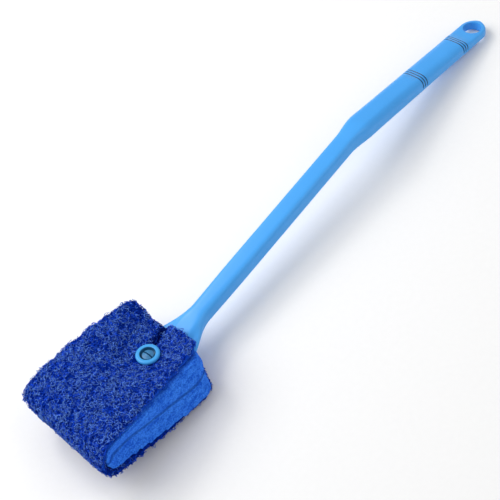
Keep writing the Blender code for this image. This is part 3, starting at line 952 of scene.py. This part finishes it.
def vector(wire, x, y, z):
    """A vector from three numbers or wires."""
    return wire.node("ShaderNodeCombineXYZ", None, {"X": x, "Y": y, "Z": z})


# %% Numbers behind each curl: its facets, its sweep and turn in radians, and its random stretches
CURL_POINTS = 7
CURL_SIDES = 3
CURL_SWEEP = 3.0
FULL_TURN = 6.283
STRETCH_ALONG = (0.6, 1.5)
STRETCH_UP = (0.3, 1.3)
WOBBLE_SCALE = 900.0


def fibre_tree():
    """Scatters one short curl over a sheet, turned, stretched and bent at random."""
    tree = new_tree("scouring_fibres", FIBRE_INPUTS)
    wire = Wire(tree)
    sheet = wire.node("NodeGroupInput")
    seed = sheet.also("Seed")
    growth = wire.node("GeometryNodeInputNamedAttribute", {"data_type": 'FLOAT'}, {"Name": "growth"})
    here = wire.node("GeometryNodeInputPosition")
    clump_scale = wire.maths('DIVIDE', 1.0, sheet.also("Clump size"))
    clump = clouds(wire, here, clump_scale, detail=1.0).step(0.36, 0.58) * 1.6 + 0.15
    points = wire.node("GeometryNodeDistributePointsOnFaces", {"distribute_method": 'RANDOM'},
                       {"Mesh": sheet, "Density": growth * clump * sheet.also("Density"), "Seed": seed})
    curl = wire.node("GeometryNodeCurveArc", None,
                     {"Resolution": CURL_POINTS, "Radius": sheet.also("Curl radius"),
                      "Sweep Angle": CURL_SWEEP})
    edge = wire.node("GeometryNodeCurvePrimitiveCircle", None,
                     {"Resolution": CURL_SIDES, "Radius": sheet.also("Thickness")})
    fibre = wire.node("GeometryNodeCurveToMesh", None,
                      {"Curve": curl, "Profile Curve": edge, "Fill Caps": True})
    lean = sheet.also("Lean")
    spin = vector(wire, chance(wire, -1.0, 1.0, seed + 11) * lean,
                  chance(wire, -1.0, 1.0, seed + 12) * lean, chance(wire, 0.0, FULL_TURN, seed + 13))
    turn = wire.node("FunctionNodeRotateRotation", {"rotation_space": 'LOCAL'},
                     {"Rotation": points.also("Rotation"),
                      "Rotate By": wire.node("FunctionNodeEulerToRotation", None, {"Euler": spin})})
    stretch = vector(wire, chance(wire, *STRETCH_ALONG, seed + 14),
                     chance(wire, *STRETCH_UP, seed + 15), 1.0)
    grown = wire.node("GeometryNodeInstanceOnPoints", None,
                      {"Points": lifted(wire, points, sheet.also("Lift")), "Instance": fibre,
                       "Rotation": turn, "Scale": stretch})
    real = wire.node("GeometryNodeRealizeInstances", None, {"Geometry": grown})
    bent = wire.node("GeometryNodeSetPosition", None,
                     {"Geometry": real, "Offset": wobble(wire, here, sheet.also("Wobble"))})
    coloured = wire.node("GeometryNodeSetMaterial", None,
                         {"Geometry": bent, "Material": sheet.also("Fibre material")})
    wire.node("NodeGroupOutput", None, {0: coloured})
    return tree


def lifted(wire, points, lift):
    """Points moved off the sheet along its normal."""
    up = wire.node("ShaderNodeVectorMath", {"operation": 'SCALE'},
                   {0: points.also("Normal"), "Scale": lift})
    return wire.node("GeometryNodeSetPosition", None, {"Geometry": points, "Offset": up})


def wobble(wire, place, size):
    """A small noise vector that bends the fibres."""
    field = wire.node("ShaderNodeTexNoise", {"noise_dimensions": '3D'},
                      {"Vector": place, "Scale": WOBBLE_SCALE, "Detail": 1.0}, output="Color")
    centred = wire.node("ShaderNodeVectorMath", {"operation": 'SUBTRACT'}, {0: field, 1: (0.5, 0.5, 0.5)})
    return wire.node("ShaderNodeVectorMath", {"operation": 'SCALE'}, {0: centred, "Scale": size})


FIBRES = fibre_tree()
print("fibre tree:", len(FIBRES.nodes), "nodes")


# %% Make the fibres' nylon
CLUMP_SCALE = 500.0
STRAND_SCALE = 1400.0
NYLON_ROUGHNESS = 0.45


def nylon(name, colour, sheen):
    """Nylon fibre whose brightness changes from fibre to fibre and from clump to clump."""
    material, shader, wire = principled(name)
    place = object_place(wire)
    clump = clouds(wire, place, CLUMP_SCALE, detail=2.0).step(0.34, 0.66)
    strand = clouds(wire, place, STRAND_SCALE, detail=1.0).step(0.38, 0.62)
    tint = blend(wire, clump * 0.3 + strand * 0.7, shade(colour, 0.36), shade(colour, 1.35))
    connect(wire, shader, Base_Color=tint)
    shader.inputs["Roughness"].default_value = NYLON_ROUGHNESS
    shader.inputs["Specular IOR Level"].default_value = sheen
    return material


# %% [markdown]
# Four layers grow one over the other, from deep blue at the sheet to bright blue at the tips, so
# that light and shade lie at real depths. Each has its own count, lift off the sheet, lean,
# specular level and seed.

# %% Grow four layers, from deep to bright
DEEP = (0.001, 0.024, 0.36, 1.0)
ROYAL = (0.011, 0.082, 0.74, 1.0)
BRIGHT = (0.106, 0.252, 1.0, 1.0)
FIBRE_THICKNESS = 0.17
LAYERS = (("fibres_deep", DEEP, 4500, 0.0, 0.30, 0.02, 21),
          ("fibres_royal", ROYAL, 4600, 0.20, 0.30, 0.05, 22),
          ("fibres_royal_upper", ROYAL, 4500, 0.45, 0.35, 0.05, 23),
          ("fibres_bright", BRIGHT, 4600, 0.65, 0.35, 0.08, 24))


def rested(piece):
    """Flattens on the table whatever would reach below it."""
    for vert in piece.data.vertices:
        vert.co.z = max(vert.co.z, 0.0)


def grow(name, colour, count, lift, lean, sheen, seed):
    """One layer of fibres on the fleece, as a plain mesh."""
    layer = linked(fleece.data.copy(), name)
    layer.data.materials.clear()
    sockets = [item for item in FIBRES.interface.items_tree if item.item_type == 'SOCKET']
    names = {socket.name: socket.identifier for socket in sockets}
    growing = layer.modifiers.new("Grow", 'NODES')
    growing.node_group = FIBRES
    growing[names["Density"]] = count / fibre_area
    growing[names["Thickness"]] = FIBRE_THICKNESS * MM
    growing[names["Lift"]] = lift * MM
    growing[names["Lean"]] = lean
    growing[names["Seed"]] = seed
    growing[names["Fibre material"]] = nylon(name, colour, sheen)
    baked(layer)
    rested(layer)
    layer.data.shade_smooth()
    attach(layer, "scraper")
    return layer


for layer in LAYERS:
    grown = grow(*layer)
    print(grown.name, triangles(grown), "triangles")

# %% [markdown]
# ## A pale table, soft light and a camera
# A product shot of this kind is lit by a large soft key from behind, which leaves the near side
# walls of the shaft darker. A small light beside it gives the plastic its tight glints, and a long
# weak strip in front draws the thin highlight along the shaft's edge. A white world fills the
# shadows. The floor is nearly white, and it stays outside the part.


# %% Studio
def direction(azimuth, elevation):
    """A unit vector, from an angle round Z and an angle above the floor in degrees."""
    a, e = math.radians(azimuth), math.radians(elevation)
    return Vector((math.cos(a) * math.cos(e), math.sin(a) * math.cos(e), math.sin(e)))


def area_light(name, azimuth, elevation, distance, size, power):
    """An area light on a sphere about the object, facing it."""
    light = bpy.data.lights.new(name, 'AREA')
    light.shape = 'RECTANGLE'
    light.size, light.size_y = size
    light.energy = power
    lamp = linked(light, name)
    lamp.location = distance * direction(azimuth, elevation)
    lamp.rotation_euler = lamp.location.to_track_quat('Z', 'Y').to_euler()


PAPER_GREY = (0.90, 0.90, 0.90, 1.0)
PAPER_WHITE = (0.93, 0.93, 0.93, 1.0)
PAPER_SCALE = 300.0


def paper(name):
    """Pale backdrop paper."""
    material, shader, wire = principled(name)
    fibre = clouds(wire, object_place(wire), PAPER_SCALE, detail=3.0)
    connect(wire, shader, Base_Color=blend(wire, fibre, PAPER_GREY, PAPER_WHITE))
    shader.inputs["Roughness"].default_value = 0.9
    return material


FLOOR_HALF = 3.0
bm = bmesh.new()
bmesh.ops.create_grid(bm, x_segments=1, y_segments=1, size=FLOOR_HALF)
floor_mesh = bpy.data.meshes.new("floor")
bm.to_mesh(floor_mesh)
bm.free()
floor = linked(floor_mesh, "floor")
floor.data.materials.append(paper("paper"))

# %% Lights and the world's fill
FILL_STRENGTH = 0.54
area_light("key", azimuth=122.0, elevation=50.0, distance=1.1, size=(0.9, 0.9), power=7.6)
area_light("glint", azimuth=87.0, elevation=46.0, distance=1.0, size=(0.22, 0.22), power=1.6)
area_light("strip", azimuth=-60.0, elevation=44.0, distance=1.0, size=(0.16, 0.9), power=1.2)
world = bpy.data.worlds.new("studio")
world.use_nodes = True
fill = world.node_tree.nodes["Background"]
fill.inputs["Color"].default_value = (1.0, 1.0, 1.0, 1.0)
fill.inputs["Strength"].default_value = FILL_STRENGTH
bpy.context.scene.world = world
bpy.context.scene.view_settings.view_transform = 'Standard'

# %% Camera
CAMERA_AIM = RIVET_AT + Vector((0.093535, 0.005707, -0.003224))
CAMERA_AZIMUTH = -123.57
CAMERA_ELEVATION = 50.91
CAMERA_DISTANCE = 0.7222
CAMERA_ROLL = -20.2
CAMERA_LENS = 87.4
SENSOR_WIDTH = 36.0

camera_data = bpy.data.cameras.new("camera")
camera_data.lens = CAMERA_LENS
camera_data.sensor_width = SENSOR_WIDTH
camera_data.clip_start = 0.01
camera = linked(camera_data, "camera")
back = direction(CAMERA_AZIMUTH, CAMERA_ELEVATION)
facing = back.to_track_quat('Z', 'Y').to_matrix()
roll = Matrix.Rotation(math.radians(CAMERA_ROLL), 3, 'Z')
camera.location = CAMERA_AIM + CAMERA_DISTANCE * back
camera.rotation_euler = (facing @ roll).to_euler()
bpy.context.scene.camera = camera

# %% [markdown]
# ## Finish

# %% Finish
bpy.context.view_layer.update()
